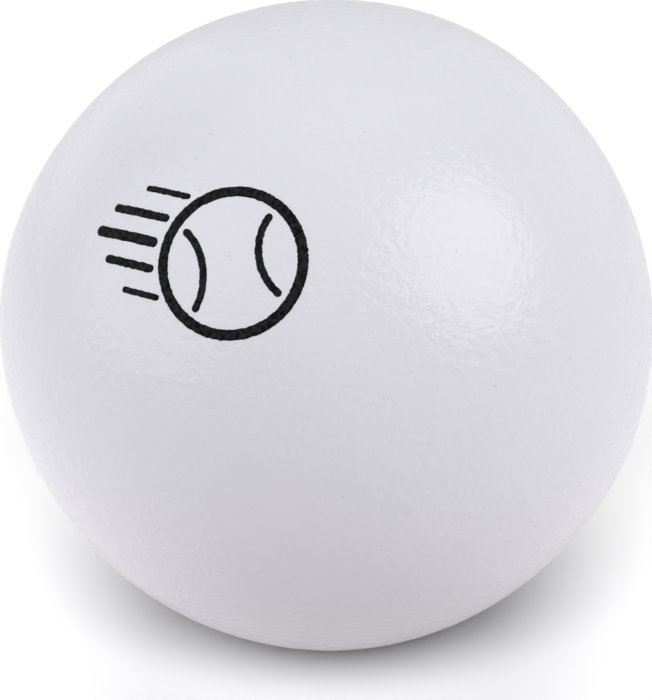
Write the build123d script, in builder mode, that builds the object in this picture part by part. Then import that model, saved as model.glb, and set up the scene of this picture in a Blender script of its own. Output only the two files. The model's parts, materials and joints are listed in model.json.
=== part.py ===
"""Soft mini handball: a solid foam core bonded into a seamless sprayed skin.

Millimetres, +Z up. The origin is the middle of the flat patch on which the soft ball settles,
and the Z axis runs up from there through the ball's centre.
"""

import math
import os

from build123d import *

# Driving dimensions
ball_diameter = 150.0  # of the free ball, 471 mm round
skin_thickness = 0.6  # all sprayed coats together
foot_radius = 8.0  # flat patch that the ball's own weight presses on the floor
settling_depth = 1.1  # how far the foam gives way under that weight

# Worked out from them
ball_radius = ball_diameter / 2
centre_height = ball_radius - settling_depth
# The shoulder arc leaves the floor at the foot's edge and runs tangent into the round of the ball.
shoulder_radius = ball_radius - (foot_radius**2 + settling_depth**2) / (2 * settling_depth)
shoulder_end = math.degrees(math.atan2(shoulder_radius - centre_height, foot_radius))


def half_section(inset):
    """Half section of the settled ball, a constant inset under its outer surface.

    Foot, shoulder and round keep their centres at any inset, so two such sections are parallel.
    """
    with BuildSketch(Plane.XZ) as section:
        with BuildLine():
            Line((0, inset), (foot_radius, inset))
            CenterArc((foot_radius, shoulder_radius), shoulder_radius - inset, -90, 90 + shoulder_end)
            CenterArc((0, centre_height), ball_radius - inset, shoulder_end, 90 - shoulder_end)
            Line((0, centre_height + ball_radius - inset), (0, inset))
        make_face()
    return section.sketch


# Foam core: fills the skin to its inner wall
with BuildPart() as foam_core:
    revolve(half_section(skin_thickness), axis=Axis.Z)
foam_core.part.label = "foam_core"

# Skin: a closed shell of even thickness with no seam, panel or valve
with BuildPart() as skin:
    revolve(half_section(0), axis=Axis.Z)
    revolve(half_section(skin_thickness), axis=Axis.Z, mode=Mode.SUBTRACT)
skin.part.label = "skin"

os.makedirs("parts", exist_ok=True)
for piece in (foam_core, skin):
    export_step(piece.part, f"parts/{piece.part.label}.step")
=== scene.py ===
"""Soft mini handball: a foam core in a seamless sprayed skin with a plain ink print, in a studio.

The file is laid out as an add-on and is run as a script. It dresses the packed solids with three
pieces, the foam core, the skin and the print, and sets up the floor, the lamps and the camera.
Lengths are metres. The origin is the middle of the patch on which the ball rests, with +Z up, and
the camera stands on the -Y side. An azimuth is counted from the front, -Y, towards +X.
"""

import json
import math
from collections import namedtuple

import bpy
import numpy as np
from bpy.props import FloatProperty, FloatVectorProperty, IntProperty, PointerProperty
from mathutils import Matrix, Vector

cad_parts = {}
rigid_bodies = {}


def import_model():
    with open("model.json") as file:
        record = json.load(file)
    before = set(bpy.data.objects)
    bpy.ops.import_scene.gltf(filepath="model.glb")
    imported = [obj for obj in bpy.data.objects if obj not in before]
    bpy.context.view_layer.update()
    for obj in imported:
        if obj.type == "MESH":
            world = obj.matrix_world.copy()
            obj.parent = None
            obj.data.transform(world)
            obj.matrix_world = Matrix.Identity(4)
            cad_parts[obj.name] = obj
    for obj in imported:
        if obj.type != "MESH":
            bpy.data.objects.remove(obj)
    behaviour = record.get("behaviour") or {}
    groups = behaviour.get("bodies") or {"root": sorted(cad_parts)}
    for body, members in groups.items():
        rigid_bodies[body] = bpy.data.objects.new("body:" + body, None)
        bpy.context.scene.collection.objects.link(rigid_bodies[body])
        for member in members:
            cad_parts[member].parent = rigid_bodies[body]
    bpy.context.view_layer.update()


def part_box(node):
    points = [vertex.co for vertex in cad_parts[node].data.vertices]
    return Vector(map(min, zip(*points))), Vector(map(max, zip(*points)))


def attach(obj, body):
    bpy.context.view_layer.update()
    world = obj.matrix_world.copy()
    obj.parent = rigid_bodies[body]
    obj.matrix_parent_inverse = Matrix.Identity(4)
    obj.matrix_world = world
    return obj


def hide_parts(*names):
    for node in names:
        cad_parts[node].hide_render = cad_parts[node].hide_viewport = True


bl_info = {
    "name": "Soft Mini Handball",
    "version": (1, 0, 0),
    "blender": (4, 5, 0),
    "location": "View3D > Sidebar > Handball",
    "description": "Builds a coated foam handball with its foam core, skin and print",
    "category": "Object",
}

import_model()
skin_low, skin_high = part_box("skin")
core_low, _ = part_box("foam_core")

MM = 0.001
TINY = 1e-12  # keeps a division by a length off zero
PICTURE_PX = (652, 700)
OUTLINE_CENTRE_PX = (328.1, 324.7)  # of the ball in the picture, without its swells
OUTLINE_RADIUS_PX = 324.5

# Where the foamed round stands proud of a true sphere. Angles are degrees.
Swell = namedtuple("Swell", "azimuth latitude spread rise")
SWELLS = (
    Swell(azimuth=-92, latitude=5, spread=14.5, rise=1.05 * MM),  # left side
    Swell(azimuth=135, latitude=55, spread=14, rise=0.65 * MM),  # far upper right
    Swell(azimuth=78, latitude=-22, spread=14, rise=0.4 * MM),  # right side, below the middle
    Swell(azimuth=16, latitude=-63, spread=17.5, rise=0.4 * MM),  # front, above the foot
)

# Sums of waves that roughen a surface: how many waves, and the longest and shortest of them.
Ripple = namedtuple("Ripple", "count longest shortest")
PEEL_RIPPLE = Ripple(count=90, longest=7.5 * MM, shortest=3.2 * MM)
FOAM_RIPPLE = Ripple(count=60, longest=8 * MM, shortest=3.5 * MM)
INK_EDGE_RIPPLE = Ripple(count=24, longest=3 * MM, shortest=0.7 * MM)

# Lamps. Angles are degrees, as the ball sees them, and a brightness of 1 is that of white paper.
LAMP_DISTANCE = 1.5
Softbox = namedtuple("Softbox", "name azimuth height half_angle brightness")
BALL_SOFTBOXES = (
    Softbox("left_softbox", azimuth=-72, height=24, half_angle=32, brightness=2.38),
    Softbox("right_softbox", azimuth=64, height=37, half_angle=25, brightness=4.22),
    Softbox("front_softbox", azimuth=0, height=25, half_angle=35, brightness=0.24),
    Softbox("top_softbox", azimuth=0, height=75, half_angle=35, brightness=0.11),
    Softbox("back_softbox", azimuth=180, height=60, half_angle=35, brightness=0.38),
    Softbox("left_rim_softbox", azimuth=-140, height=15, half_angle=25, brightness=0.7),
    Softbox("right_rim_softbox", azimuth=140, height=15, half_angle=25, brightness=0.32),
)
FLOOR_SOFTBOXES = (
    Softbox("floor_front_softbox", azimuth=0, height=41, half_angle=19, brightness=8.7),
    Softbox("floor_left_softbox", azimuth=-50, height=28, half_angle=20, brightness=0.9),
    Softbox("floor_back_softbox", azimuth=180, height=60, half_angle=33, brightness=2.3),
)


def linear(hex_colour):
    """Linear red, green and blue of an sRGB colour written as #RRGGBB."""
    parts = np.array([int(hex_colour[i : i + 2], 16) for i in (1, 3, 5)]) / 255
    return tuple(np.where(parts <= 0.04045, parts / 12.92, ((parts + 0.055) / 1.055) ** 2.4))


def opaque(colour):
    """A colour with full cover, as sockets want it."""
    return (*colour, 1.0)


def length_property(name, default, description):
    """A length that a user can set, in metres."""
    return FloatProperty(
        name=name,
        default=default,
        min=0,
        unit="LENGTH",
        precision=5,
        description=description,
    )


def colour_property(name, hex_colour, description):
    """A colour that a user can set."""
    return FloatVectorProperty(
        name=name,
        default=linear(hex_colour),
        size=3,
        min=0,
        max=1,
        subtype="COLOR",
        description=description,
    )


def angle_property(name, degrees, description):
    """An angle that a user can set."""
    return FloatProperty(
        name=name,
        default=math.radians(degrees),
        subtype="ANGLE",
        description=description,
    )


def share_property(name, default, description):
    """A share from 0 to 1 that a user can set."""
    return FloatProperty(
        name=name,
        default=default,
        min=0,
        max=1,
        subtype="FACTOR",
        description=description,
    )


class BallSizes(bpy.types.PropertyGroup):
    """Sizes of the settled ball."""

    diameter: length_property("Diameter", skin_high.x - skin_low.x, "Width of the free ball")
    height: length_property("Height", skin_high.z - skin_low.z, "Height of the ball once it has settled")
    foot_radius: length_property("Foot radius", 8 * MM, "Radius of the patch pressed flat on the floor")
    skin_thickness: length_property("Skin thickness", core_low.z - skin_low.z, "All coats together")
    peel_height: length_property("Peel height", 0.008 * MM, "Height of the broad orange peel")


class SkinFinish(bpy.types.PropertyGroup):
    """Look of the sprayed skin."""

    colour: colour_property("Colour", "#DFDEE6", "Main colour of the coat")
    shade: colour_property("Shade", "#DBDAE3", "Colour where the coat lies a little thinner")
    cloud: length_property("Cloud", 18 * MM, "Width of one patch of thicker or thinner coat")
    # The grey in the pinholes is painted shade in the pits.
    pinhole_shade: colour_property("Pore", "#B4B1B6", "Colour in the pinholes")
    roughness: share_property("Roughness", 0.4, "Roughness of the coat under its film")
    gloss: share_property("Gloss", 0.05, "How much of a plain gloss the coat has under its top film")
    film: share_property("Top film", 0.42, "Cover of the clear film on top of the coat")
    film_roughness: share_property("Film roughness", 0.13, "Roughness of the top film")
    grain: length_property("Grain", 2.3 * MM, "Width of one lump of the fine orange peel")
    grain_height: length_property("Grain height", 0.42 * MM, "Height of the fine peel over its whole range")
    grain_under: share_property("Grain under film", 0.65, "Height of the coat's peel, of the film's")
    grain_detail: FloatProperty(
        name="Grain detail",
        default=2.0,
        min=0,
        description="How often the lumps are halved into smaller ones",
    )
    grain_crispness: share_property("Grain crispness", 0.56, "Height of each halving, of the last one")
    pinhole_pitch: length_property("Pinhole pitch", 6 * MM, "Spacing of the scatter of pinholes")
    pinhole_radius: length_property("Pinhole radius", 0.3 * MM, "Radius of the largest pinholes")
    pinhole_depth: length_property("Pinhole depth", 0.05 * MM, "Depth of the pinholes")


class PrintFinish(bpy.types.PropertyGroup):
    """Place, sizes and look of the ink print, a ball in flight."""

    azimuth: angle_property("Azimuth", -30, "How far round from the front the print sits")
    latitude: angle_property("Latitude", 36, "How far up from the ball's middle the print sits")
    ring_radius: length_property("Ring radius", 16 * MM, "Radius of the drawn ball")
    ring_width: length_property("Ring width", 2.4 * MM, "Width of the drawn ball's outline")
    seam_width: length_property("Seam width", 1.7 * MM, "Width of the two lines in the drawn ball")
    trail_pitch: length_property("Trail pitch", 5.8 * MM, "From one bar of the trail to the next")
    trail_width: length_property("Trail width", 2.4 * MM, "Width of the middle bar of the trail")
    gap: length_property("Gap", 1.2 * MM, "Bare skin between the drawn ball and what meets it")
    film: length_property("Film", 0.05 * MM, "Height of the ink above the skin")
    ragged: length_property("Ragged edge", 0.05 * MM, "How far the edge of the ink wanders")
    colour: colour_property("Ink", "#08080A", "Colour of the ink")
    thin: colour_property("Thin ink", "#28282C", "Colour where the ink lies thin")
    patch: length_property("Patch", 0.9 * MM, "Width of one patch of thick or thin ink")


class FoamFinish(bpy.types.PropertyGroup):
    """Look of the foam core."""

    colour: colour_property("Colour", "#EAE4CF", "Colour of the cell walls")
    # The darker colour in the open cells is painted shade.
    cell_shade: colour_property("Hollow", "#C9BE9C", "Colour in the open cells")
    cell: length_property("Cell", 1.4 * MM, "Width of one foam cell")
    pit_depth: length_property("Pit depth", 0.35 * MM, "Depth of the open pits at the surface")


class StudioSettings(bpy.types.PropertyGroup):
    """Camera and floor."""

    camera_distance: length_property("Camera distance", 1.0, "From the lens to the ball's centre")
    camera_height: angle_property("Camera height", 26.5, "Angle of the camera above the horizon")
    floor_size: length_property("Floor size", 12.0, "Side of the square floor")
    floor: colour_property("Floor", "#FAFAFA", "Colour of the floor to the lens")
    bounce: colour_property("Bounce", "#DEDCD9", "Colour of the floor to the ball above it")
    backdrop: colour_property("Backdrop", "#F4F4F4", "Colour of the floor far from the ball")
    pool: length_property("Pool", 0.5, "Radius of the floor that throws light back on the ball")
    board: length_property("Board", 0.8, "Radius of the floor that passes into the backdrop")


class HandballSettings(bpy.types.PropertyGroup):
    """All settings of the handball."""

    ball: PointerProperty(type=BallSizes)
    skin: PointerProperty(type=SkinFinish)
    ink: PointerProperty(type=PrintFinish)
    foam: PointerProperty(type=FoamFinish)
    studio: PointerProperty(type=StudioSettings)
    seed: IntProperty(name="Seed", default=7, min=0, description="Start of every random draw")


# Surfaces


def unit(vectors):
    """Vectors of length 1."""
    return vectors / np.linalg.norm(vectors, axis=-1, keepdims=True)


def heading(azimuth, latitude):
    """Unit vector from the ball's centre at an azimuth and a latitude in radians."""
    level = math.cos(latitude)
    return np.array([math.sin(azimuth) * level, -math.cos(azimuth) * level, math.sin(latitude)])


def cube_sphere(cells):
    """Even grid of directions over a sphere: the six square faces of a cube, blown up.

    On one face the two grid parameters a and b run from -45 to 45 degrees, and the direction is
    (tan a, tan b, 1) scaled to length 1, which keeps the cells nearly equal. The faces share the
    points along their edges. Returns the directions and the quads, which face outwards.
    """
    i, j = np.meshgrid(np.arange(cells + 1), np.arange(cells + 1), indexing="ij")
    numbers = np.arange(i.size).reshape(i.shape)
    lattice = []
    quads = []
    for axis in range(3):
        for side in (0, cells):
            number = numbers + len(lattice) * i.size
            corners = [number[:-1, :-1], number[1:, :-1], number[1:, 1:], number[:-1, 1:]]
            if side == 0:
                corners.reverse()
            quads.append(np.stack(corners, axis=-1).reshape(-1, 4))
            face = np.stack([np.full_like(i, side), i, j], axis=-1)
            lattice.append(np.roll(face, axis, axis=-1).reshape(-1, 3))
    lattice, welded = np.unique(np.concatenate(lattice), axis=0, return_inverse=True)
    directions = np.tan((lattice / cells - 0.5) * math.pi / 2)
    return unit(directions), welded.reshape(-1)[np.concatenate(quads)]


def settled_ball(directions, ball, inset=0.0):
    """Points and outward normals of the settled ball, a constant inset under its outer surface.

    The half section runs along the flat foot, up the shoulder arc and round the ball. A direction at
    angle p from straight down takes the point at the share p / 180 degrees of that length.
    """
    radius = ball.diameter / 2
    depth = ball.diameter - ball.height
    foot = ball.foot_radius
    shoulder = radius - (foot**2 + depth**2) / (2 * depth)
    shoulder_turn = math.pi / 2 + math.atan2(shoulder - (radius - depth), foot)
    length = foot + shoulder * shoulder_turn + radius * (math.pi - shoulder_turn)

    down_angle = np.arccos(np.clip(-directions[:, 2], -1, 1))
    along = down_angle / math.pi * length
    on_shoulder = np.clip((along - foot) / shoulder, 0, shoulder_turn)
    on_round = np.maximum(along - foot - shoulder * shoulder_turn, 0) / radius
    turn = on_shoulder + on_round
    past_shoulder = on_round > 0
    arc = np.where(past_shoulder, radius, shoulder) - inset
    out = np.where(past_shoulder, 0, np.minimum(along, foot)) + arc * np.sin(turn)
    up = np.where(past_shoulder, radius - depth, shoulder) - arc * np.cos(turn)

    level = directions[:, :2]
    level = level / np.maximum(np.linalg.norm(level, axis=1), TINY)[:, None]
    points = np.column_stack([level * out[:, None], up])
    normals = np.column_stack([level * np.sin(turn)[:, None], -np.cos(turn)])
    return points, normals


def waves(points, draws, ripple):
    """Sum of a ripple's sine waves, of random heading and phase, from the longest to the shortest.

    Each wave is sin(2 pi (heading . point) / wavelength + phase). The sum has a spread of 1.
    """
    headings = unit(draws.normal(size=(ripple.count, points.shape[1])))
    phases = draws.uniform(0, 2 * math.pi, ripple.count)
    wavelengths = np.geomspace(ripple.longest, ripple.shortest, ripple.count)
    total = np.zeros(len(points))
    for course, phase, wavelength in zip(headings, phases, wavelengths):
        total += np.sin(points @ course * (2 * math.pi / wavelength) + phase)
    return total * math.sqrt(2 / ripple.count)


def skin_surface(directions, settings, lift=0.0):
    """Outer surface of the skin: the settled ball with its swells and the broad peel of the spray.

    A swell rises by rise * exp(-angle^2 / (2 spread^2)) round its heading, and the peel is a sum of
    waves. Both fade out by an S curve within two foot radii of the flat foot. The lift is added all
    over.
    """
    ball = settings.ball
    points, normals = settled_ball(directions, ball)
    draws = np.random.default_rng(settings.seed)
    height = ball.peel_height * waves(points, draws, PEEL_RIPPLE)
    for swell in SWELLS:
        middle = heading(math.radians(swell.azimuth), math.radians(swell.latitude))
        angle = np.arccos(np.clip(directions @ middle, -1, 1))
        height += swell.rise * np.exp(-((angle / math.radians(swell.spread)) ** 2) / 2)
    from_foot = np.linalg.norm(points[:, :2], axis=1) - ball.foot_radius
    clear = np.clip(from_foot / (2 * ball.foot_radius), 0, 1)
    free = np.where(points[:, 2] > ball.height / 2, 1, clear)
    height = height * free * free * (3 - 2 * free) + lift
    return points + normals * height[:, None]


def foam_surface(directions, settings):
    """Outer surface of the foam: just inside the skin, with open pits where a sum of waves is high.

    The pits are as deep as the wave sum is high, up to their full depth at twice its spread.
    """
    ball = settings.ball
    bond_gap = 0.02 * MM
    deepest = 2  # in spreads of the wave sum
    points, normals = settled_ball(directions, ball, ball.skin_thickness + bond_gap)
    draws = np.random.default_rng(settings.seed + 1)
    # The pits are drawn coarser than real cells, so that the mesh can hold them.
    rough = waves(points, draws, FOAM_RIPPLE)
    pits = settings.foam.pit_depth * np.clip(rough, 0, deepest) / deepest
    return points - normals * pits[:, None]


def on_ball(sheet, settings):
    """Directions of the points of the print's flat sheet, laid round the ball from its middle.

    A point keeps its bearing from the sheet's middle, and its distance becomes an arc of that length.
    """
    ink = settings.ink
    middle = heading(ink.azimuth, ink.latitude)
    east = np.array([math.cos(ink.azimuth), math.sin(ink.azimuth), 0])
    north = np.cross(middle, east)
    distance = np.maximum(np.linalg.norm(sheet, axis=1), TINY)[:, None]
    aside = (sheet[:, :1] * east + sheet[:, 1:] * north) / distance
    arc = distance / (settings.ball.diameter / 2)
    return np.cos(arc) * middle + np.sin(arc) * aside


def round_ended(length, half_width):
    """Distances along a stroke and its half width at each, with half-round ends."""
    step = 0.2 * MM
    least = 0.02 * MM
    cap_steps = 8
    turn = np.linspace(0, math.pi / 2, cap_steps, endpoint=False)
    cap = half_width * (1 - np.cos(turn))
    cap_width = half_width * np.sin(turn)
    body = np.linspace(half_width, length - half_width, max(2, round(length / step)))
    distance = np.concatenate([cap, body, length - cap[::-1]])
    width = np.concatenate([cap_width, np.full(len(body), half_width), cap_width[::-1]])
    return distance, np.maximum(width, least)


def ink_stroke(path, half_width, closed, settings, draws):
    """A thin closed band of ink: a flat loop carried along a path on the sheet, laid on the skin.

    The loop crosses the top from the left edge to the right one and comes back underneath. Each edge
    wanders by a sum of waves. Returns the points and the faces.
    """
    ink = settings.ink
    across = 5
    sink = 0.02 * MM
    ahead = np.roll(path, -1, axis=0) - np.roll(path, 1, axis=0) if closed else np.gradient(path, axis=0)
    left = unit(np.column_stack([-ahead[:, 1], ahead[:, 0]]))
    edges = []
    for side in (1, -1):
        edge = path + left * (side * half_width)[:, None]
        wander = ink.ragged * waves(edge, draws, INK_EDGE_RIPPLE) * half_width / half_width.max()
        edges.append(edge + left * (side * wander)[:, None])
    share = np.linspace(0, 1, across)[:, None]
    top = edges[0][:, None] + (edges[1] - edges[0])[:, None] * share
    sheet = np.concatenate([top, top[:, ::-1]], axis=1)
    steps, around = sheet.shape[:2]
    lift = np.tile(np.repeat([ink.film, -sink], across), steps)
    points = skin_surface(on_ball(sheet.reshape(-1, 2), settings), settings, lift)

    number = np.arange(steps * around).reshape(steps, around)
    caps = [] if closed else [number[0, ::-1].tolist(), number[-1].tolist()]
    if closed:
        number = np.vstack([number, number[:1]])
    number = np.hstack([number, number[:, :1]])
    corners = [number[:-1, :-1], number[:-1, 1:], number[1:, 1:], number[1:, :-1]]
    return points, np.stack(corners, axis=-1).reshape(-1, 4).tolist() + caps


def print_strokes(ink):
    """The print, a ball in flight, as (path, half width, closed) on a sheet: ring, seams and trail."""
    ring_steps = 480
    ring_shift = 0.65  # to the right, which leaves room for the trail; in ring radii
    seam_bow = 0.85  # radius of a seam's arc, in ring radii
    seam_offset = 1.25  # from the ring's middle to that arc's, in ring radii
    seam_tilt = math.radians(25)
    trail_lengths = (14 * MM, 21 * MM, 26 * MM, 23 * MM, 16 * MM)  # past the sheet's middle, lowest first
    trail_taper = 0.2  # how much thinner each bar is than the next one inwards, in middle bars
    ring_place = np.array([ring_shift * ink.ring_radius, 0])
    outer = ink.ring_radius + ink.ring_width / 2
    inner = ink.ring_radius - ink.ring_width / 2

    # Ring: a circle
    turn = np.linspace(0, 2 * math.pi, ring_steps, endpoint=False)
    ring = ring_place + ink.ring_radius * np.column_stack([np.cos(turn), np.sin(turn)])
    yield ring, np.full(len(turn), ink.ring_width / 2), True

    # Seams: two arcs that bow towards the ring's middle from both sides
    bow = seam_bow * ink.ring_radius
    from_middle = seam_offset * ink.ring_radius
    reach = inner - ink.gap
    half_turn = math.acos((from_middle**2 + bow**2 - reach**2) / (2 * from_middle * bow))
    for course in (seam_tilt, seam_tilt + math.pi):
        distance, half_width = round_ended(2 * half_turn * bow, ink.seam_width / 2)
        angle = course + math.pi - half_turn + distance / bow
        bow_centre = ring_place + from_middle * np.array([math.cos(course), math.sin(course)])
        yield bow_centre + bow * np.column_stack([np.cos(angle), np.sin(angle)]), half_width, False

    # Trail: five bars that end short of the ring, the outer ones shorter and thinner
    for bar, tail in zip(range(-2, 3), trail_lengths):
        level = bar * ink.trail_pitch
        tip = ring_place[0] - math.sqrt((outer + ink.gap) ** 2 - level**2)
        bar_width = ink.trail_width * (1 - trail_taper * abs(bar))
        distance, half_width = round_ended(tip + tail, bar_width / 2)
        yield np.column_stack([distance - tail, np.full(len(distance), level)]), half_width, False


def mesh_piece(name, points, faces, material):
    """A smooth mesh object at the origin."""
    mesh = bpy.data.meshes.new(name)
    mesh.from_pydata(points, [], faces)
    if mesh.validate():
        raise RuntimeError(f"{name} has faults in its mesh")
    mesh.shade_smooth()
    mesh.materials.append(material)
    piece = bpy.data.objects.new(name, mesh)
    bpy.context.scene.collection.objects.link(piece)
    return piece


# Materials


def add_node(tree, kind, settings=None, **sockets):
    """Adds a node with its settings. A socket gets a value, or a link from another node's output.

    A socket is given by its name, with _ for a space, or by _ and its number.
    """
    node = tree.nodes.new(kind)
    for key, value in (settings or {}).items():
        setattr(node, key, value)
    for key, value in sockets.items():
        by_number = key[1:].isdigit()
        socket = node.inputs[int(key[1:]) if by_number else key.replace("_", " ")]
        if isinstance(value, bpy.types.NodeSocket):
            tree.links.new(value, socket)
        else:
            socket.default_value = value
    return node


def new_material(name):
    """An empty node material with its output and its place on the object."""
    material = bpy.data.materials.new(name)
    material.use_nodes = True
    tree = material.node_tree
    tree.nodes.clear()
    place = add_node(tree, "ShaderNodeTexCoord").outputs["Object"]
    return material, tree, add_node(tree, "ShaderNodeOutputMaterial"), place


def mixed(tree, share, first, second):
    """The first colour where the share is 0, the second where it is 1, and a blend between."""
    mix = add_node(tree, "ShaderNodeMix", {"data_type": "RGBA"}, Factor=share, _6=first, _7=second)
    return mix.outputs[2]


def pinholes(tree, place, skin):
    """0 in the middle of a pinhole and 1 on whole skin.

    Points are scattered through space, and those near the surface leave a dot on it.
    """
    scatter = add_node(tree, "ShaderNodeTexVoronoi", Vector=place, Scale=1 / skin.pinhole_pitch)
    whole = add_node(
        tree,
        "ShaderNodeMapRange",
        {"interpolation_type": "SMOOTHSTEP"},
        Value=scatter.outputs["Distance"],
        From_Max=skin.pinhole_radius / skin.pinhole_pitch,
    )
    return whole.outputs[0]


def peel_normal(tree, place, skin, whole, grain_height):
    """Fine orange peel as a bump: a grain of ever smaller lumps, with sparse pinholes."""
    grain = add_node(
        tree,
        "ShaderNodeTexNoise",
        Vector=place,
        Scale=1 / skin.grain,
        Detail=skin.grain_detail,
        Roughness=skin.grain_crispness,
    )
    lumps = add_node(
        tree,
        "ShaderNodeBump",
        Strength=1.0,
        Distance=grain_height,
        Height=grain.outputs["Fac"],
    )
    holes = add_node(
        tree,
        "ShaderNodeBump",
        Strength=1.0,
        Distance=skin.pinhole_depth,
        Height=whole,
        Normal=lumps.outputs["Normal"],
    )
    return holes.outputs["Normal"]


def sprayed_skin(settings):
    """Polyurethane sprayed over foam: a matt coat, faintly clouded, under a thin clear satin film.

    The spray dried in a fine orange peel, which shows round the lamps that the film mirrors, and left
    a few pinholes, which show as grey specks.
    """
    skin = settings.skin
    material, tree, output, place = new_material("sprayed_polyurethane_skin")
    cloud = add_node(tree, "ShaderNodeTexNoise", Vector=place, Scale=1 / skin.cloud, Detail=3.0)
    clouded = mixed(tree, cloud.outputs["Fac"], opaque(skin.shade), opaque(skin.colour))
    whole = pinholes(tree, place, skin)
    # The pinholes are greyed with painted shade.
    shaded_in_pinholes = mixed(tree, whole, opaque(skin.pinhole_shade), clouded)
    coat_peel = peel_normal(tree, place, skin, whole, skin.grain_height * skin.grain_under)
    film_peel = peel_normal(tree, place, skin, whole, skin.grain_height)
    shader = add_node(
        tree,
        "ShaderNodeBsdfPrincipled",
        Base_Color=shaded_in_pinholes,
        Roughness=skin.roughness,
        IOR=1.5,
        Specular_IOR_Level=skin.gloss,
        Coat_Weight=skin.film,
        Coat_Roughness=skin.film_roughness,
        Normal=coat_peel,
        Coat_Normal=film_peel,
    )
    tree.links.new(shader.outputs[0], output.inputs["Surface"])
    return material


def pad_printed_ink(settings):
    """Black ink pad printed on the grained skin: near matt, a little uneven, with the peel under it."""
    ink = settings.ink
    skin = settings.skin
    thick_below = 0.35  # of the noise that draws the patches
    thin_above = 0.65
    material, tree, output, place = new_material("pad_printed_ink")
    patches = add_node(tree, "ShaderNodeTexNoise", Vector=place, Scale=1 / ink.patch, Detail=2.0)
    thinness = add_node(
        tree,
        "ShaderNodeMapRange",
        Value=patches.outputs["Fac"],
        From_Min=thick_below,
        From_Max=thin_above,
    )
    shader = add_node(
        tree,
        "ShaderNodeBsdfPrincipled",
        Base_Color=mixed(tree, thinness.outputs[0], opaque(ink.colour), opaque(ink.thin)),
        Roughness=0.6,
        IOR=1.48,
        Specular_IOR_Level=0.03,
        Normal=peel_normal(tree, place, skin, pinholes(tree, place, skin), skin.grain_height),
    )
    tree.links.new(shader.outputs[0], output.inputs["Surface"])
    return material


def moulded_foam(settings):
    """Soft polyurethane foam: matt and cream, with small open cells that look darker inside."""
    foam = settings.foam
    open_within = 0.2  # of a cell's middle, in cell widths
    wall_beyond = 0.6
    relief = foam.cell / 4
    material, tree, output, place = new_material("moulded_polyurethane_foam")
    cells = add_node(tree, "ShaderNodeTexVoronoi", Vector=place, Scale=1 / foam.cell)
    walls = add_node(
        tree,
        "ShaderNodeMapRange",
        Value=cells.outputs["Distance"],
        From_Min=open_within,
        From_Max=wall_beyond,
    ).outputs[0]
    bump = add_node(tree, "ShaderNodeBump", Strength=1.0, Distance=relief, Height=walls)
    shader = add_node(
        tree,
        "ShaderNodeBsdfPrincipled",
        # Painted shade darkens the open cells.
        Base_Color=mixed(tree, walls, opaque(foam.cell_shade), opaque(foam.colour)),
        Roughness=0.9,
        IOR=1.45,
        Normal=bump.outputs["Normal"],
    )
    tree.links.new(shader.outputs[0], output.inputs["Surface"])
    return material


def seen_rays(tree):
    """1 on rays from the lens, from a gloss or through glass, and 0 on those that gather soft light."""
    path = add_node(tree, "ShaderNodeLightPath")
    seen = path.outputs["Is Camera Ray"]
    for kind in ("Is Glossy Ray", "Is Transmission Ray"):
        either = add_node(tree, "ShaderNodeMath", {"operation": "MAXIMUM"}, _0=seen, _1=path.outputs[kind])
        seen = either.outputs[0]
    return seen


def beyond(tree, place, radius):
    """0 within half a radius of the origin, rising to 1 at the radius and farther off."""
    reach = add_node(tree, "ShaderNodeVectorMath", {"operation": "LENGTH"}, _0=place)
    share = add_node(
        tree,
        "ShaderNodeMapRange",
        Value=reach.outputs["Value"],
        From_Min=radius / 2,
        From_Max=radius,
    )
    return share.outputs[0]


def painted_floor(studio):
    """White painted board: matt, white to the lens, and greyer in what it throws back on the ball.

    Only the pool about the ball throws light back. Farther off the board passes into a backdrop that
    is evenly pale to the lens.
    """
    material, tree, output, place = new_material("white_painted_board")
    # The backdrop gives no light to the ball, so none is looked for there.
    material.cycles.emission_sampling = "NONE"
    black = opaque((0, 0, 0))
    bounce = mixed(tree, beyond(tree, place, studio.pool), opaque(studio.bounce), black)
    seen = seen_rays(tree)
    colour = mixed(tree, seen, bounce, opaque(studio.floor))
    board = add_node(tree, "ShaderNodeBsdfDiffuse", Color=colour)
    backdrop = add_node(tree, "ShaderNodeEmission", Color=opaque(studio.backdrop), Strength=seen)
    shader = add_node(
        tree,
        "ShaderNodeMixShader",
        _0=beyond(tree, place, studio.board),
        _1=board.outputs[0],
        _2=backdrop.outputs[0],
    )
    tree.links.new(shader.outputs[0], output.inputs["Surface"])
    return material


def white_room():
    """A world that is white to the lens and in a gloss. The lamps alone give the soft light."""
    world = bpy.data.worlds.new("white_room")
    world.use_nodes = True
    background = world.node_tree.nodes["Background"]
    background.inputs["Color"].default_value = opaque((1, 1, 1))
    world.node_tree.links.new(seen_rays(world.node_tree), background.inputs["Strength"])
    return world


# Stage


def lit_group(name, pieces):
    """A group of objects that some lamps light and others don't."""
    group = bpy.data.collections.new(name)
    for piece in pieces:
        group.objects.link(piece)
    return group


def softbox(setting, target, lit):
    """A round softbox that faces the target and lights one group."""
    radius = LAMP_DISTANCE * math.tan(math.radians(setting.half_angle))
    lamp = bpy.data.lights.new(setting.name, "AREA")
    lamp.shape = "DISK"
    lamp.size = 2 * radius
    # A matt disc of brightness 1 sends out pi watts from each square metre.
    lamp.energy = setting.brightness * math.pi * math.pi * radius**2
    towards = Vector(heading(math.radians(setting.azimuth), math.radians(setting.height)))
    box = bpy.data.objects.new(setting.name, lamp)
    box.location = target + towards * LAMP_DISTANCE
    box.rotation_euler = (-towards).to_track_quat("-Z", "Y").to_euler()
    box.visible_camera = False
    box.light_linking.receiver_collection = lit
    bpy.context.scene.collection.objects.link(box)


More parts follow.
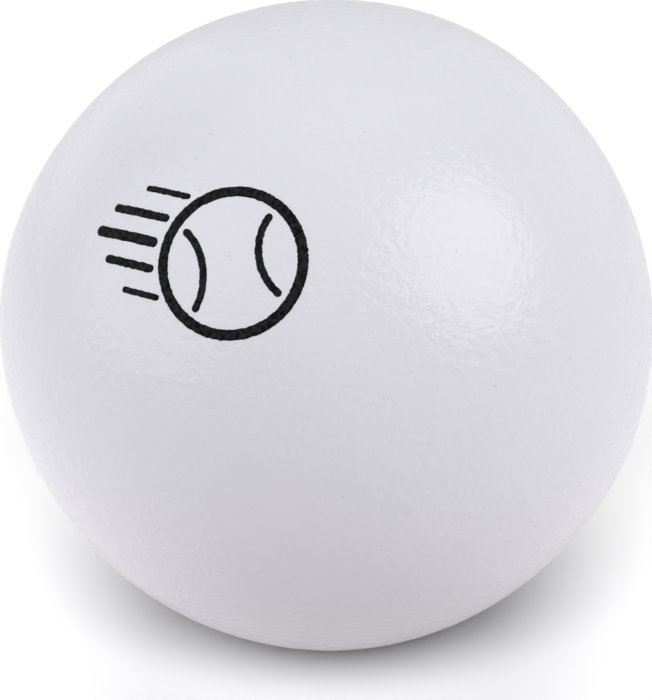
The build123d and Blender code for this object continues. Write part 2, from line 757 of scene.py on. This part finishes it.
def framed_camera(centre, ball, studio):
    """The camera, with its lens and aim worked out so that the ball's outline falls where it should."""
    lens = bpy.data.cameras.new("camera")
    outline_angle = math.asin(ball.diameter / 2 / studio.camera_distance)
    lens_px = OUTLINE_RADIUS_PX / math.tan(outline_angle)
    lens.lens = lens_px / max(PICTURE_PX) * lens.sensor_width
    back = Vector(heading(0, studio.camera_height))
    right = Vector((1, 0, 0))
    upward = back.cross(right)
    aside = (PICTURE_PX[0] / 2 - OUTLINE_CENTRE_PX[0]) / lens_px
    above = (OUTLINE_CENTRE_PX[1] - PICTURE_PX[1] / 2) / lens_px
    gaze = right * aside + upward * above - back
    camera = bpy.data.objects.new("camera", lens)
    camera.location = centre + back * studio.camera_distance
    camera.rotation_euler = gaze.to_track_quat("-Z", "Y").to_euler()
    bpy.context.scene.collection.objects.link(camera)
    return camera


# Operators


class HANDBALL_OT_core(bpy.types.Operator):
    """Builds the foam core"""

    bl_idname = "handball.core"
    bl_label = "Foam the core"
    cells = 100

    def execute(self, context):
        settings = context.scene.handball
        directions, quads = cube_sphere(self.cells)
        points = foam_surface(directions, settings)
        piece = mesh_piece("foam_ball", points, quads, moulded_foam(settings))
        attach(piece, "root")
        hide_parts("foam_core")
        return {"FINISHED"}


class HANDBALL_OT_skin(bpy.types.Operator):
    """Builds the sprayed skin as a closed shell"""

    bl_idname = "handball.skin"
    bl_label = "Spray the skin"
    outer_cells = 120
    inner_cells = 44

    def execute(self, context):
        settings = context.scene.handball
        outer_directions, outer_quads = cube_sphere(self.outer_cells)
        inner_directions, inner_quads = cube_sphere(self.inner_cells)
        outer = skin_surface(outer_directions, settings)
        inner, _ = settled_ball(inner_directions, settings.ball, settings.ball.skin_thickness)
        points = np.concatenate([outer, inner])
        quads = np.concatenate([outer_quads, inner_quads[:, ::-1] + len(outer)])
        piece = mesh_piece("skin_shell", points, quads, sprayed_skin(settings))
        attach(piece, "root")
        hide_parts("skin")
        return {"FINISHED"}


class HANDBALL_OT_print(bpy.types.Operator):
    """Prints the ball in flight on the skin"""

    bl_idname = "handball.ink_print"
    bl_label = "Print the skin"

    def execute(self, context):
        settings = context.scene.handball
        draws = np.random.default_rng(settings.seed + 2)
        points = []
        faces = []
        first = 0
        for path, half_width, closed in print_strokes(settings.ink):
            stroke_points, stroke_faces = ink_stroke(path, half_width, closed, settings, draws)
            points.append(stroke_points)
            faces.extend([[first + corner for corner in face] for face in stroke_faces])
            first += len(stroke_points)
        piece = mesh_piece("ink_print", np.concatenate(points), faces, pad_printed_ink(settings))
        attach(piece, "root")
        return {"FINISHED"}


class HANDBALL_OT_stage(bpy.types.Operator):
    """Sets up the floor, the lamps and the camera"""

    bl_idname = "handball.stage"
    bl_label = "Set the stage"

    def execute(self, context):
        scene = context.scene
        ball = scene.handball.ball
        studio = scene.handball.studio
        centre = Vector((0, 0, ball.height - ball.diameter / 2))
        pieces = list(scene.collection.objects)

        half = studio.floor_size / 2
        corners = [(-half, -half, 0), (half, -half, 0), (half, half, 0), (-half, half, 0)]
        floor = mesh_piece("floor", corners, [(0, 1, 2, 3)], painted_floor(studio))

        # Flags keep each softbox off the floor or off the ball, so the ball is lit from both sides
        # and the floor from above and in front, which draws its shadow close under it.
        on_pieces = lit_group("lit_ball", pieces)
        on_floor = lit_group("lit_floor", [floor])
        for lamp in BALL_SOFTBOXES:
            softbox(lamp, centre, on_pieces)
        for lamp in FLOOR_SOFTBOXES:
            softbox(lamp, centre, on_floor)

        scene.world = white_room()
        scene.camera = framed_camera(centre, ball, studio)
        scene.view_settings.view_transform = "Standard"
        return {"FINISHED"}


class HANDBALL_PT_panel(bpy.types.Panel):
    """Lists the settings and the operators"""

    bl_idname = "HANDBALL_PT_panel"
    bl_label = "Soft Mini Handball"
    bl_space_type = "VIEW_3D"
    bl_region_type = "UI"
    bl_category = "Handball"

    def draw(self, context):
        settings = context.scene.handball
        groups = (settings.ball, settings.skin, settings.ink, settings.foam, settings.studio)
        for group in groups:
            column = self.layout.column(heading=type(group).__doc__)
            for name in type(group).__annotations__:
                column.prop(group, name)
        self.layout.prop(settings, "seed")
        for operator in OPERATORS:
            self.layout.operator(operator.bl_idname)


OPERATORS = (HANDBALL_OT_core, HANDBALL_OT_skin, HANDBALL_OT_print, HANDBALL_OT_stage)
GROUPS = (BallSizes, SkinFinish, PrintFinish, FoamFinish, StudioSettings, HandballSettings)
CLASSES = (*GROUPS, *OPERATORS, HANDBALL_PT_panel)


def register():
    """Makes the classes and the settings known."""
    for cls in CLASSES:
        bpy.utils.register_class(cls)
    bpy.types.Scene.handball = PointerProperty(type=HandballSettings)


def unregister():
    """Takes the classes and the settings away again."""
    del bpy.types.Scene.handball
    for cls in reversed(CLASSES):
        bpy.utils.unregister_class(cls)


def main():
    """Builds every piece and the stage, and writes both boxes."""
    register()
    bpy.ops.handball.core()
    bpy.ops.handball.skin()
    bpy.ops.handball.ink_print()
    bpy.ops.handball.stage()


if __name__ == "__main__":
    main()
